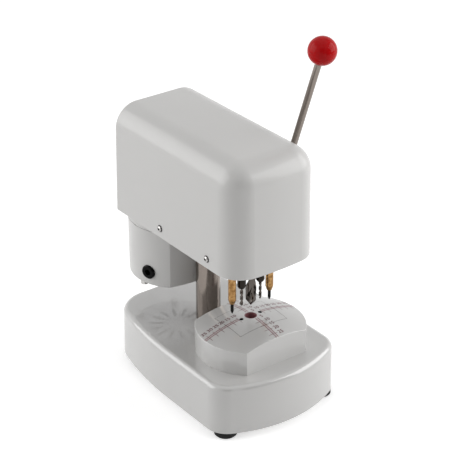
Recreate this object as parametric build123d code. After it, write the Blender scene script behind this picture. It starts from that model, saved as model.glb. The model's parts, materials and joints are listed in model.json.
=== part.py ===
"""Lens drilling machine: a bench drill that cuts the three holes of a lens pattern in one stroke.

All sizes are in millimetres. +X is the user's right, -Y the front and +Z up. The pieces are drawn
with the drill axis at x = 0, y = 0 and the bench at z = 0. At export they move along Y, so that the
origin of the part is the middle of its footprint on the bench.
"""
import os
from math import acos, ceil, cos, pi, radians, sin, sqrt, tan

from build123d import *

# Overall heights above the bench
foot_height = 5.0
base_height = 36.4
table_height = 24.6
head_bottom = 115.0
head_height = 79.3

# Base
base_half_width = 52.4
base_front = 45.7
base_rear = 110.0
base_front_bow = 16.0
base_corner_radius = 17.0
base_rear_corner_radius = 26.0
base_taper_start = 28.0
base_taper_radius = 250.0
base_draft = 1.0
base_wall = 3.0
base_top_wall = 3.5
base_edge_radius = 4.0
base_plate_thickness = 1.5
plate_gap = 0.3
foot_radius = 8.0
foot_front_inset = 11.0
foot_front_y = -26.4
foot_rear_inset = 17.0
foot_rear_y = 82.0
boss_radius = 5.0
base_screw_radius = 1.5
base_screw_reach = 12.0

# Table
table_radius = 38.6
table_front = 29.1
table_rear = 27.3
table_dome_radius = 110.0
table_edge_radius = 0.5
centre_hole_radius = 4.1
side_hole_radius = 1.5
side_hole_depth = 9.0
table_screw_x = 26.0
table_screw_radius = 2.0
table_screw_grip = 9.0
table_boss_height = 4.0

# Column
column_radius = 8.8
column_y = 49.4
column_fit = 0.02
column_boss_radius = 14.0
column_seat = 6.0
column_bolt_radius = 4.0
column_bolt_head_radius = 6.5
column_bolt_length = 18.0
column_foot = 4.0
column_tap_depth = 16.0

# Head cover
cover_half_width = 36.6
cover_front = 30.3
cover_rear = 109.6
cover_front_bow = 3.0
cover_corner_radius = 18.5
cover_top_radius = 17.5
cover_rear_edge_radius = 2.5
cover_draft = 0.65
cover_wall = 2.0
cover_screw_ys = [0.7, 54.5]
cover_screw_height = 6.9
cover_screw_length = 9.0
cover_screw_radius = 1.4
cover_screw_head_radius = 2.5
cover_screw_head = 1.7

# Head frame
frame_plate_thickness = 10.0
frame_gap = 0.3
tower_radius = 20.0
tower_clearance = 1.0
tower_half_width = 15.0
tower_rear = 31.0
clamp_radius = 15.0
clamp_height = 45.0
clamp_slot = 2.0
clamp_ear_half_width = 8.0
clamp_ear_depth = 22.0
clamp_screw_radius = 2.0
clamp_screw_heights = [24.0, 37.0]

# Quill, rack and pinion
quill_radius = 14.0
quill_travel = 13.0
running_gap = 0.05
tooth_module = 1.0
pinion_teeth = 18
pinion_width = 12.0
pinion_y = 21.0
pinion_height = 36.8
rack_margin = 4.5
shaft_radius = 4.0
pressure_angle = 20.0
rack_backlash = 0.12

# Spindles
spindle_spacing = 8.0
spindle_teeth = 16
spindle_gear_width = 5.0
gear_backlash = 0.06
spindle_radius = 4.97
spindle_neck_radius = 2.5
side_spindle_radius = 2.0
quill_bearing_outer = 9.5
quill_bearing_inner = 5.0
quill_bearing_width = 5.0
spline_count = 6
spline_root_radius = 3.2
spline_outer_radius = 4.0
spline_width = 1.6
spline_gap = 0.08

# Spindle block
block_half_length = 23.5
block_half_depth = 6.5
block_drop = 11.5
block_height = 15.0
cap_thickness = 4.0
block_gap = 0.5

# Drills and chucks
centre_drill_radius = 3.75
centre_shank_radius = 3.0
centre_drill_tip = 8.2
centre_drill_point = 4.6
centre_flute_length = 17.0
centre_chuck_radius = 4.4
centre_chuck_length = 14.0
chuck_socket = 6.8
side_drill_radius = 1.1
side_drill_tip = 10.3
side_drill_point = 1.2
side_flute_length = 12.0
side_chuck_radius = 3.0
side_chuck_end = 24.5
side_chuck_top_gap = 0.3

# Hold-down pens
pen_x = 16.0
pen_radius = 2.75
pen_end = 15.0
pen_taper = 3.0
pen_mouth_radius = 1.8
pen_thread_radius = 2.0
pen_thread_length = 9.0
pen_tip_radius = 1.1
pen_tip_end = 7.1
pen_tip_point = 2.0
pen_tip_length = 22.0
pen_spring_length = 15.3
spring_wall = 0.35

# Pulleys and belt
bridge_thickness = 5.8
pulley_bearing_outer = 10.5
pulley_bearing_inner = 6.0
pulley_bearing_width = 5.0
pulley_width = 11.0
spindle_pulley_radius = 17.0
motor_pulley_radius = 11.0
groove_depth = 4.8
groove_width = 7.0
belt_width = 5.4
belt_thickness = 4.0
belt_gap = 0.3
bridge_screw_circle = 17.0
bridge_screw_radius = 1.2
bridge_screw_head_radius = 2.2

# Motor
motor_y = 88.2
motor_radius = 34.0
motor_front = 59.8
motor_corner_x = 23.0
motor_corner_radius = 0.8
motor_rim_radius = 1.5
motor_bottom = 66.0
motor_cap_height = 5.9
motor_wall = 2.0
motor_shaft_radius = 4.0
motor_bearing_outer = 11.0
motor_bearing_width = 7.0
lower_bearing_width = 6.0
end_seat_floor = 1.6
end_seat_height = 9.0
stator_height = 16.0
stator_bore = 15.0
stator_seat = 16.5
coil_height = 3.2
rotor_gap = 0.5
end_cover_thickness = 2.5
vent_count = 14
vent_inner = 11.0
vent_outer = 21.5
vent_width = 2.2
motor_screw_circle = 30.0
motor_screw_angles = [-5.0, 60.0, 120.0, 185.0]
motor_screw_radius = 1.5
motor_screw_grip = 8.0
motor_screw_head_radius = 2.75
motor_screw_head = 3.0
flange_screw_angles = [20.0, 160.0, 240.0, 300.0]
flange_screw_circle = 24.0
fan_radius = 23.0
fan_hub_radius = 7.0
fan_height = 5.0
fan_gap = 1.4
fan_blades = 9
support_radius = 13.0
support_height = 41.0
support_flange_radius = 14.0
support_flange_height = 4.0

# Cord gland on the motor housing
gland_angle = 199.7
gland_height = 10.6
gland_radius = 5.2
gland_proud = 1.6
gland_bore_radius = 2.3
gland_bore_length = 12.0
gland_shank_radius = 3.8

# Lever
lever_x = 44.5
lever_lean = 19.7
lever_length = 109.0
lever_rod_radius = 2.4
lever_ball_radius = 9.75
lever_hub_radius = 7.5
lever_hub_half_length = 6.5
lever_rod_grip = 6.0

# Return spring and start switch
spring_cup_radius = 11.0
spring_cup_depth = 9.0
spring_cup_wall = 1.2
spring_strip = 0.6
spring_turns = 3
cam_width = 3.5
cam_lobe_radius = 9.5
cam_base_radius = 8.3
cam_lobe_half_angle = 12.0
switch_height = 14.0
switch_depth = 16.0
switch_width = 6.5
plunger_radius = 1.2
plunger_gap = 0.3

# Worked out from the sizes above
base_bottom = foot_height
base_top = base_bottom + base_height
table_top = base_top + table_height
head_top = head_bottom + head_height
frame_top = head_bottom + frame_plate_thickness
pinion_z = head_bottom + pinion_height
pinion_radius = tooth_module * pinion_teeth / 2
pitch_y = pinion_y - pinion_radius
block_bottom = head_bottom - block_drop
block_top = block_bottom + block_height
cap_top = block_top + cap_thickness
quill_top = pinion_z + quill_travel + rack_margin
tower_top = quill_top + tower_clearance
spindle_module = spindle_spacing / spindle_teeth
gear_top = block_top - block_gap
gear_bottom = gear_top - spindle_gear_width
cavity_floor = gear_bottom - 0.4
chuck_top = cavity_floor - 0.1
chuck_bottom = chuck_top - centre_chuck_length
bridge_top = tower_top + bridge_thickness
pulley_bottom = bridge_top + 0.2
pulley_top = pulley_bottom + pulley_width
groove_middle = (pulley_bottom + pulley_top) / 2
spindle_top = pulley_top + 2.5
motor_seam = head_bottom - motor_cap_height
motor_rear = motor_y + motor_radius
motor_reach = motor_y - motor_front - motor_wall
stator_bottom = motor_bottom + stator_seat
stator_top = stator_bottom + stator_height
fan_bottom = stator_top + coil_height + fan_gap
support_top = frame_top + support_height
switch_x = -tower_half_width - 0.3 - switch_width / 2
cup_right = switch_x - cam_width / 2 - 0.6
cup_left = cup_right - spring_cup_depth
centre_y = (motor_rear - base_front) / 2
press_gap = 0.01
foot_positions = [
    (-base_half_width + foot_front_inset, foot_front_y),
    (base_half_width - foot_front_inset, foot_front_y),
    (-base_half_width + foot_rear_inset, foot_rear_y),
    (base_half_width - foot_rear_inset, foot_rear_y),
]

BOTTOM = (Align.CENTER, Align.CENTER, Align.MIN)


def cylinder(radius, z_low, z_high, x=0.0, y=0.0):
    """Return an upright cylinder between two heights."""
    return Pos(x, y, z_low) * Cylinder(radius, z_high - z_low, align=BOTTOM)


def tube(outer, inner, z_low, z_high, x=0.0, y=0.0):
    """Return an upright tube between two heights."""
    hole = cylinder(inner, z_low - 1, z_high + 1, x, y)
    return cylinder(outer, z_low, z_high, x, y) - hole


def bar_x(radius, x_low, x_high, y, z):
    """Return a cylinder that lies along X."""
    rod = Cylinder(radius, x_high - x_low, align=BOTTOM)
    return Pos(x_low, y, z) * Rot(0, 90, 0) * rod


def box(x_low, x_high, y_low, y_high, z_low, z_high):
    """Return a box between three pairs of limits."""
    size = (x_high - x_low, y_high - y_low, z_high - z_low)
    middle = ((x_low + x_high) / 2, (y_low + y_high) / 2, (z_low + z_high) / 2)
    return Pos(*middle) * Box(*size)


def slab(sketch, z_low, z_high, taper=0.0):
    """Return a flat outline raised between two heights, drawn in by a draft angle."""
    return Pos(0, 0, z_low) * extrude(sketch, z_high - z_low, taper=taper)


def turned(points, x=0.0, y=0.0):
    """Return a solid turned about a vertical axis from radius and height pairs."""
    outline = Polyline(*[(radius, 0, height) for radius, height in points], close=True)
    return Pos(x, y, 0) * revolve(make_face(outline), Axis.Z)


def polar(radius, angle_degrees, x=0.0, y=0.0):
    """Return a point on a circle about x, y."""
    angle = radians(angle_degrees)
    return (x + radius * cos(angle), y + radius * sin(angle))


def slot_outline(half_length, half_depth):
    """Return a long slot shape along X with half-round ends."""
    return SlotOverall(2 * half_length, 2 * half_depth)


def bowed_outline(half_width, front, rear, bow):
    """Return a plan outline with a bowed front, straight sides and a straight rear."""
    corner_y = -front + bow
    edges = [
        ThreePointArc((-half_width, corner_y), (0, -front), (half_width, corner_y)),
        Line((half_width, corner_y), (half_width, rear)),
        Line((half_width, rear), (-half_width, rear)),
        Line((-half_width, rear), (-half_width, corner_y)),
    ]
    return make_face(edges)


def base_outline(inset=0.0):
    """Return the plan of the base: a bowed front and sides that draw in towards the rear."""
    half_width = base_half_width - inset
    front = base_front - inset
    rear = base_rear - inset
    radius = base_taper_radius - inset
    corner_y = -front + base_front_bow
    middle_y = (base_taper_start + rear) / 2

    def side_x(y):
        run = y - base_taper_start
        return half_width - radius + sqrt(radius ** 2 - run ** 2)

    edges = [
        ThreePointArc((-half_width, corner_y), (0, -front), (half_width, corner_y)),
        Line((half_width, corner_y), (half_width, base_taper_start)),
        ThreePointArc((half_width, base_taper_start), (side_x(middle_y), middle_y), (side_x(rear), rear)),
        Line((side_x(rear), rear), (-side_x(rear), rear)),
        ThreePointArc((-side_x(rear), rear), (-side_x(middle_y), middle_y), (-half_width, base_taper_start)),
        Line((-half_width, base_taper_start), (-half_width, corner_y)),
    ]
    plan = make_face(edges)
    rear_corners = [v for v in plan.vertices() if abs(v.Y - rear) < 0.01]
    plan = fillet(rear_corners, base_rear_corner_radius - inset)
    front_corners = [v for v in plan.vertices() if abs(v.Y - corner_y) < 0.01]
    return fillet(front_corners, base_corner_radius - inset)


def base_housing():
    """Cast shell, open below, with a boss for each foot and one for the column."""
    outer = slab(base_outline(), base_bottom, base_top, base_draft)
    rim = outer.faces().sort_by(Axis.Z)[-1].edges()
    outer = fillet(rim, base_edge_radius)
    ceiling = base_top - base_top_wall
    inner = slab(base_outline(base_wall), base_bottom, ceiling, base_draft)
    shell = outer - inner
    boss_bottom = base_bottom + base_plate_thickness
    for x, y in foot_positions:
        shell += cylinder(boss_radius, boss_bottom, ceiling + 1, x, y)
    shell += cylinder(column_boss_radius, base_bottom + column_seat, ceiling + 1, 0, column_y)
    for x in (-table_screw_x, table_screw_x):
        shell += cylinder(boss_radius, ceiling - table_boss_height, ceiling + 1, x, 0)
    for x, y in foot_positions:
        shell -= cylinder(base_screw_radius, boss_bottom - 1, ceiling - 4, x, y)
    bore_bottom = base_bottom + column_seat + column_foot
    shell -= cylinder(column_radius + column_fit, bore_bottom, base_top + 1, 0, column_y)
    shell -= cylinder(column_bolt_radius + 0.3, base_bottom, bore_bottom + 1, 0, column_y)
    for x in (-table_screw_x, table_screw_x):
        shell -= cylinder(table_screw_radius + 0.2, ceiling - table_boss_height - 1, base_top + 1, x, 0)
    return shell


def base_plate():
    """Steel sheet that closes the base from below."""
    plan = base_outline(base_wall + plate_gap)
    plate = slab(plan, base_bottom, base_bottom + base_plate_thickness)
    for x, y in foot_positions:
        plate -= cylinder(base_screw_radius + 0.2, base_bottom - 1, base_bottom + 5, x, y)
    return plate


def rubber_feet():
    """Four round feet with a recess below for the screw heads."""
    feet = []
    for x, y in foot_positions:
        profile = [
            (base_screw_radius + 0.2, 2.5),
            (4.0, 2.5),
            (4.0, 0.0),
            (foot_radius - 1.0, 0.0),
            (foot_radius, 1.0),
            (foot_radius, foot_height),
            (base_screw_radius + 0.2, foot_height),
        ]
        feet.append(turned(profile, x, y))
    return feet


def base_screws():
    """Screws that pass up through the feet and the base plate into the bosses."""
    screws = []
    for x, y in foot_positions:
        head = cylinder(3.0, 0.8, 2.5, x, y)
        shank = cylinder(base_screw_radius - press_gap, 2.5, base_bottom + base_screw_reach, x, y)
        screws.append(head + shank)
    return screws


def table_block(z_low, z_high):
    """Return the plan of the table, a circle with a flat front and rear, as a block."""
    disc = cylinder(table_radius, z_low, z_high)
    limits = box(-table_radius - 1, table_radius + 1, -table_front, table_rear, z_low - 1, z_high + 1)
    return disc & limits


def drill_table():
    """Domed table that carries the lens, with one hole for each drill."""
    dome = Pos(0, 0, table_top - table_dome_radius) * Sphere(table_dome_radius)
    table = table_block(base_top, table_top + 1) & dome
    rim = [edge for edge in table.edges() if edge.center().Z > base_top + 2 and edge.length > 20]
    table = fillet(rim, table_edge_radius)
    table -= cylinder(centre_hole_radius, base_top - 1, table_top + 1)
    for x in (-spindle_spacing, spindle_spacing):
        table -= cylinder(side_hole_radius, table_top - side_hole_depth, table_top + 1, x, 0)
    for x in (-table_screw_x, table_screw_x):
        table -= cylinder(table_screw_radius + press_gap, base_top - 1, base_top + table_screw_grip + 1, x, 0)
    return table


def table_screws():
    """Two screws that hold the table from inside the base."""
    screws = []
    seat = base_top - base_top_wall - table_boss_height
    for x in (-table_screw_x, table_screw_x):
        head = cylinder(table_screw_radius * 1.8, seat - 3, seat, x, 0)
        screws.append(head + cylinder(table_screw_radius, seat, base_top + table_screw_grip, x, 0))
    return screws


def column():
    """Polished column with a tapped hole in its foot."""
    foot = base_bottom + column_seat + column_foot
    top = head_bottom + clamp_height
    post = cylinder(column_radius, foot, top, 0, column_y)
    post = chamfer(post.edges().sort_by(Axis.Z)[-1], 1.0)
    return post - cylinder(column_bolt_radius, foot - 1, foot + column_tap_depth, 0, column_y)


def column_bolt():
    """Hexagon bolt with its washer that draws the column down into the base."""
    seat = base_bottom + column_seat
    washer = cylinder(column_bolt_head_radius + 1.5, seat - 1.2, seat, 0, column_y)
    head = Pos(0, column_y, base_bottom + base_plate_thickness + 0.2) * extrude(
        RegularPolygon(column_bolt_head_radius, 6), seat - 1.2 - base_bottom - base_plate_thickness - 0.2
    )
    shank = cylinder(column_bolt_radius - press_gap, seat, seat + column_bolt_length, 0, column_y)
    return head + washer + shank


def cover_form(inset=0.0):
    """Return the solid form of the head cover, smaller all round by the inset."""
    plan = bowed_outline(cover_half_width - inset, cover_front - inset, cover_rear - inset, cover_front_bow)
    front_corners = [v for v in plan.vertices() if v.Y < 0]
    plan = fillet(front_corners, cover_corner_radius - inset)
    form = slab(plan, head_bottom, head_top - inset, cover_draft)
    top = form.faces().sort_by(Axis.Z)[-1]
    rim = top.edges().sort_by(Axis.Y)[:-1]
    form = fillet(rim, cover_top_radius - inset)
    rear = form.faces().sort_by(Axis.Y)[-1]
    rear_edges = [edge for edge in rear.edges() if edge.center().Z > head_bottom + 1]
    return fillet(rear_edges, max(cover_rear_edge_radius - inset, 0.4))


def head_cover():
    """Painted shell, open below, that hides the head frame and the belt."""
    inner = cover_form(cover_wall)
    skirt = Pos(0, 0, -2) * slab(
        fillet_front(bowed_outline(
            cover_half_width - cover_wall,
            cover_front - cover_wall,
            cover_rear - cover_wall,
            cover_front_bow,
        ), cover_corner_radius - cover_wall), head_bottom, head_bottom + 2.5,
    )
    shell = cover_form() - inner - skirt
    for y in cover_screw_ys:
        z = head_bottom + cover_screw_height
        shell -= bar_x(cover_screw_radius + 0.2, -cover_half_width - 5, cover_half_width + 5, y, z)
    shaft_hole = bar_x(shaft_radius + 2.0, 0, cover_half_width + 5, pinion_y, pinion_z)
    return shell - shaft_hole


def fillet_front(plan, radius):
    """Round the two front corners of a plan outline."""
    return fillet([v for v in plan.vertices() if v.Y < 0], radius)


def cover_screws():
    """Four pan head screws with a slot, two on each side."""
    screws = []
    z = head_bottom + cover_screw_height
    seat = cover_half_width
    for side in (-1, 1):
        for y in cover_screw_ys:
            shank = bar_x(cover_screw_radius, seat - cover_screw_length, seat + 0.1, y, z)
            head = bar_x(cover_screw_head_radius, seat, seat + cover_screw_head, y, z)
            head = fillet(head.edges().sort_by(Axis.X)[-1], cover_screw_head - 0.3)
            screw = shank + head - box(seat + 0.9, seat + 2, y - 3, y + 3, z - 0.4, z + 0.4)
            screws.append(screw if side > 0 else mirror(screw, Plane.YZ))
    return screws


def frame_plan():
    """Return the plan of the head frame's plate, which fits inside the cover."""
    inset = cover_wall + frame_gap
    plan = bowed_outline(cover_half_width - inset, cover_front - inset, cover_rear - inset, cover_front_bow)
    return fillet_front(plan, cover_corner_radius - inset)


def head_frame():
    """Cast frame: a plate with the quill tower, the pinion cheeks and the column clamp."""
    frame = slab(frame_plan(), head_bottom, frame_top, cover_draft)
    frame += cylinder(tower_radius, head_bottom, tower_top)
    frame += box(-tower_half_width, tower_half_width, 0, tower_rear, frame_top - 1, tower_top)
    clamp_top = head_bottom + clamp_height
    frame += cylinder(clamp_radius, head_bottom, clamp_top, 0, column_y)
    ear_rear = column_y + clamp_ear_depth
    frame += box(-clamp_ear_half_width, clamp_ear_half_width, column_y, ear_rear, frame_top - 1, clamp_top)
    web_top = pinion_z - pinion_radius - 4
    frame += box(-clamp_ear_half_width, clamp_ear_half_width, tower_rear - 5, column_y, frame_top - 1, web_top)

    frame -= cylinder(quill_radius + running_gap, head_bottom - 1, tower_top + 1)
    pocket = slot_outline(block_half_length + block_gap, block_half_depth + block_gap)
    frame -= slab(pocket, head_bottom - 1, cap_top + block_gap)
    pocket_half = pinion_radius + tooth_module + 1
    frame -= box(
        -pinion_width / 2 - 0.6, pinion_width / 2 + 0.6, 0, tower_rear + 1, pinion_z - pocket_half,
        pinion_z + pocket_half,
    )
    frame -= bar_x(shaft_radius + running_gap, -40, 40, pinion_y, pinion_z)
    frame -= cylinder(column_radius + column_fit, head_bottom - 1, clamp_top + 1, 0, column_y)
    half_slot = clamp_slot / 2
    frame -= box(-half_slot, half_slot, column_y, ear_rear + 1, frame_top + 1, clamp_top + 1)
    for height in clamp_screw_heights:
        screw_y = column_y + clamp_ear_depth - 5
        frame -= bar_x(clamp_screw_radius + 0.1, -20, 20, screw_y, head_bottom + height)
    for y in cover_screw_ys:
        z = head_bottom + cover_screw_height
        for x in (-cover_half_width, cover_half_width):
            reach = cover_screw_length + 1
            frame -= bar_x(cover_screw_radius + press_gap, x - reach, x + reach, y, z)
    frame -= cylinder(motor_shaft_radius + 4, head_bottom - 1, frame_top + 1, 0, motor_y)
    for angle in flange_screw_angles:
        x, y = polar(flange_screw_circle, angle, 0, motor_y)
        frame -= cylinder(motor_screw_radius + 0.2, head_bottom - 1, frame_top + 1, x, y)
    for index in range(4):
        x, y = polar(bridge_screw_circle, 45 + 90 * index)
        frame -= cylinder(bridge_screw_radius, tower_top - 8, tower_top + 1, x, y)
    return frame


def clamp_screws():
    """Two screws that close the split clamp on the column."""
    screws = []
    for height in clamp_screw_heights:
        y = column_y + clamp_ear_depth - 5
        z = head_bottom + height
        shank = bar_x(clamp_screw_radius, -clamp_ear_half_width - 3, clamp_ear_half_width, y, z)
        head = bar_x(3.5, clamp_ear_half_width, clamp_ear_half_width + 4, y, z)
        nut = Pos(-clamp_ear_half_width - 3, y, z) * Rot(0, 90, 0) * extrude(RegularPolygon(4, 6), 3)
        screws.append(shank + head + nut)
    return screws


def tooth_half_angle(radius, module, teeth, backlash):
    """Return half the angle that an involute tooth spans at a radius."""
    pitch_radius = module * teeth / 2
    base_radius = pitch_radius * cos(radians(pressure_angle))
    at_pitch = pi / (2 * teeth) - backlash / (2 * pitch_radius)
    alpha = radians(pressure_angle)
    turn = acos(min(1.0, base_radius / max(radius, base_radius)))
    return at_pitch + (tan(alpha) - alpha) - (tan(turn) - turn)


def gear_outline(module, teeth, backlash, phase):
    """Return a spur gear outline whose first tooth lies at the phase angle, in degrees."""
    pitch_radius = module * teeth / 2
    base_radius = pitch_radius * cos(radians(pressure_angle))
    root = pitch_radius - 1.25 * module
    tip = pitch_radius + module
    points = []
    for index in range(teeth):
        middle = radians(phase) + 2 * pi * index / teeth
        wide = tooth_half_angle(base_radius, module, teeth, backlash)
        narrow = tooth_half_angle(tip, module, teeth, backlash)
        flank = [(root, wide), (base_radius, wide), (tip, narrow)]
        for radius, half in flank:
            points.append((radius * cos(middle - half), radius * sin(middle - half)))
        for radius, half in reversed(flank):
            points.append((radius * cos(middle + half), radius * sin(middle + half)))
    return make_face(Polyline(*points, close=True))


def rack_cut():
    """Return what is cut from the rear of the quill to leave the rack's teeth."""
    pitch = pi * tooth_module
    tip_y = pitch_y + tooth_module
    root_y = pitch_y - 1.25 * tooth_module
    run_out = sqrt((pinion_radius + tooth_module) ** 2 - (pinion_y - quill_radius) ** 2) + 0.5
    low = pinion_z - run_out
    slope = tan(radians(pressure_angle))
    half_gap = pitch / 4 + rack_backlash / 2
    root_half = half_gap - slope * (pitch_y - root_y)
    tip_half = half_gap + slope * (tip_y + 0.5 - pitch_y)
    first = ceil((tip_half - run_out) / pitch - 0.5)
    last = int((quill_top + tip_half - pinion_z) / pitch - 0.5)
    cuts = [box(-quill_radius, quill_radius, tip_y, quill_radius + 1, low, quill_top + 1)]
    for index in range(first, last + 1):
        middle = pinion_z + pitch * (index + 0.5)
        outline = Polyline(
            (0, root_y, middle - root_half), (0, root_y, middle + root_half),
            (0, tip_y + 0.5, middle + tip_half), (0, tip_y + 0.5, middle - tip_half), close=True,
        )
        cuts.append(extrude(make_face(outline), quill_radius, dir=(1, 0, 0), both=True))
    return cuts


def quill():
    """Steel sleeve with a rack on its rear and a bearing seat at each end."""
    sleeve = cylinder(quill_radius, cap_top, quill_top)
    sleeve -= cylinder(spindle_radius + 1.5, cap_top - 1, quill_top + 1)
    seat = quill_bearing_outer + press_gap
    sleeve -= cylinder(seat, cap_top - 1, cap_top + quill_bearing_width + 0.5)
    sleeve -= cylinder(seat, quill_top - quill_bearing_width - 0.5, quill_top + 1)
    for cut in rack_cut():
        sleeve -= cut
    return sleeve


def bearing(outer, inner, z_low, width, x=0.0, y=0.0):
    """Return a shielded ball bearing as one turned ring with its shields set back."""
    top = z_low + width
    rim = (outer - inner) * 0.22
    step = width * 0.08
    profile = [
        (inner, z_low), (inner + rim, z_low), (inner + rim, z_low + step), (outer - rim, z_low + step),
        (outer - rim, z_low), (outer, z_low), (outer, top), (outer - rim, top),
        (outer - rim, top - step), (inner + rim, top - step), (inner + rim, top), (inner, top),
    ]
    return turned(profile, x, y)


def quill_bearings():
    """Two equal bearings, one at each end of the quill."""
    lows = (cap_top + 0.4, quill_top - quill_bearing_width - 0.3)
    return [bearing(quill_bearing_outer, quill_bearing_inner, low, quill_bearing_width) for low in lows]


def motor_bearings():
    """Lower bearing in the end cover and upper bearing in the shaft support."""
    seat = motor_bottom + end_seat_floor
    lower = bearing(quill_bearing_outer, motor_shaft_radius, seat, lower_bearing_width, 0, motor_y)
    seat = support_top - motor_bearing_width
    return [lower, bearing(motor_bearing_outer, motor_shaft_radius, seat, motor_bearing_width, 0, motor_y)]


def spline_outline(gap=0.0):
    """Return the cross-section of the splined shaft, wider all round by the gap."""
    shape = Circle(spline_root_radius + gap)
    length = spline_outer_radius + gap
    for index in range(spline_count):
        key = Pos(length / 2, 0) * Rectangle(length, spline_width + 2 * gap)
        shape += Rot(0, 0, 360 * index / spline_count) * key
    return shape


def main_spindle():
    """Centre spindle: a neck for the gear below, bearing seats in the quill and a spline above."""
    neck_bottom = chuck_bottom + chuck_socket + 1.2
    shoulder = quill_top - 0.2
    profile = [
        (0, neck_bottom), (spindle_neck_radius, neck_bottom), (spindle_neck_radius, gear_top),
        (3.0, gear_top), (3.0, cap_top + 0.3), (spindle_radius, cap_top + 0.3),
        (spindle_radius, shoulder), (0, shoulder),
    ]
    return turned(profile) + slab(spline_outline(), shoulder - 1, spindle_top)


def spindle_gear(x, phase, bore):
    """Return one of the three gears in the spindle block."""
    outline = gear_outline(spindle_module, spindle_teeth, gear_backlash, phase)
    gear = slab(outline - Circle(bore), gear_bottom, gear_top)
    return Pos(x, 0, 0) * gear


def side_spindle(x):
    """Thin spindle that turns in the block and in its cap."""
    return cylinder(side_spindle_radius, block_bottom - 4.0, cap_top - 0.2, x, 0)


def spindle_block():
    """Black block under the quill that carries the three spindles and the two pens."""
    plan = slot_outline(block_half_length, block_half_depth)
    block = slab(plan, block_bottom, block_top)
    block = chamfer(block.faces().sort_by(Axis.Z)[0].edges(), 0.5)
    cavity_radius = spindle_module * spindle_teeth / 2 + spindle_module + 0.4
    cavity = slot_outline(spindle_spacing + cavity_radius, cavity_radius)
    block -= slab(cavity, cavity_floor, block_top + 1)
    block -= cylinder(centre_chuck_radius + 0.4, block_bottom - 1, cavity_floor + 1)
    for side in (-1, 1):
        bore = side_spindle_radius + running_gap
        block -= cylinder(bore, block_bottom - 1, cavity_floor + 1, side * spindle_spacing, 0)
        thread_top = block_bottom + pen_thread_length
        block -= cylinder(pen_thread_radius + press_gap, block_bottom - 1, thread_top, side * pen_x, 0)
        block -= cylinder(1.0, block_top - 6, block_top + 1, side * (block_half_length - 4), 0)
    return block


def block_cap():
    """Plate that closes the gear cavity and joins the block to the quill."""
    plan = slot_outline(block_half_length, block_half_depth)
    cap = slab(plan, block_top, cap_top)
    cap -= cylinder(3.4, block_top - 1, cap_top + 1)
    for side in (-1, 1):
        bore = side_spindle_radius + running_gap
        cap -= cylinder(bore, block_top - 1, cap_top + 1, side * spindle_spacing, 0)
        cap -= cylinder(1.2, block_top - 1, cap_top + 1, side * (block_half_length - 4), 0)
        cap -= cylinder(2.1, cap_top - 2, cap_top + 1, side * (block_half_length - 4), 0)
    return cap


def cap_screws():
    """Two sunk screws that hold the cap on the block."""
    screws = []
    for side in (-1, 1):
        x = side * (block_half_length - 4)
        shank = cylinder(0.99, block_top - 5, cap_top - 1, x, 0)
        screws.append(shank + cylinder(2.0, cap_top - 2, cap_top - 0.2, x, 0))
    return screws


def centre_chuck():
    """Chuck screwed on the main spindle, with a socket for the centre drill."""
    chuck = cylinder(centre_chuck_radius, chuck_bottom, chuck_top)
    chuck = chamfer(chuck.edges().sort_by(Axis.Z)[0], 0.6)
    chuck -= cylinder(centre_shank_radius + press_gap, chuck_bottom - 1, chuck_bottom + chuck_socket)
    return chuck - cylinder(spindle_neck_radius + press_gap, chuck_bottom + chuck_socket + 0.8, chuck_top + 1)


def flute_cutter(radius, low, high, lead, offset, cutter_radius):
    """Return one helical groove, swept up a drill from below its point."""
    path = Pos(0, 0, low) * Helix(lead, high - low, offset)
    start = path @ 0
    profile = Plane(origin=start, z_dir=path % 0) * Circle(cutter_radius)
    return sweep(profile, path=path, is_frenet=True)


def drill(radius, tip, point, flute_length, body_top, lead, x=0.0):
    """Return a twist drill with two helical flutes."""
    body = turned([(0, tip), (radius, tip + point), (radius, body_top), (0, body_top)], x, 0)
    flute_top = tip + flute_length
    for start in (0, 180):
        groove = flute_cutter(radius, tip - 1.0, flute_top, lead, radius * 1.02, radius * 0.52)
        body -= Pos(x, 0, 0) * Rot(0, 0, start) * groove
    return body


def centre_drill():
    """Large twist drill with a reduced shank in the centre chuck."""
    tip = table_top + centre_drill_tip
    body_top = chuck_bottom - 0.2
    flutes = drill(centre_drill_radius, tip, centre_drill_point, centre_flute_length, body_top, 26.0)
    return flutes + cylinder(centre_shank_radius, body_top, chuck_bottom + chuck_socket - 0.3)


def side_drill(x):
    """Thin twist drill for a pin hole."""
    tip = table_top + side_drill_tip
    shank_top = table_top + side_chuck_end + 8.5
    return drill(side_drill_radius, tip, side_drill_point, side_flute_length, shank_top, 9.0, x)


def side_chuck(x):
    """Dark chuck that joins a side spindle to its drill."""
    bottom = table_top + side_chuck_end
    top = block_bottom - side_chuck_top_gap
    profile = [
        (side_drill_radius + press_gap, bottom), (side_chuck_radius - 0.9, bottom),
        (side_chuck_radius, bottom + 1.4), (side_chuck_radius, top),
        (side_spindle_radius + press_gap, top), (side_spindle_radius + press_gap, block_bottom - 4.2),
        (side_drill_radius + press_gap, block_bottom - 4.2),
    ]
    return turned(profile, x, 0)


def pen_sleeve(x):
    """Brass pen body screwed into the block, with a bore for the point and its spring."""
    bottom = table_top + pen_end
    thread_top = block_bottom + pen_thread_length
    bore_top = table_top + pen_tip_end + pen_tip_length + pen_spring_length
    bore = pen_tip_radius + running_gap
    profile = [
        (bore, bottom), (pen_mouth_radius, bottom), (pen_radius, bottom + pen_taper),
        (pen_radius, block_bottom), (pen_thread_radius, block_bottom), (pen_thread_radius, thread_top),
        (0, thread_top), (0, bore_top), (bore, bore_top),
    ]
    return turned(profile, x, 0)


def pen_point(x):
    """Black pointed rod that slides in the brass sleeve."""
    tip = table_top + pen_tip_end
    top = tip + pen_tip_length
    profile = [
        (0, tip), (0.25, tip), (pen_tip_radius, tip + pen_tip_point), (pen_tip_radius, top), (0, top),
    ]
    return turned(profile, x, 0)


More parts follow.
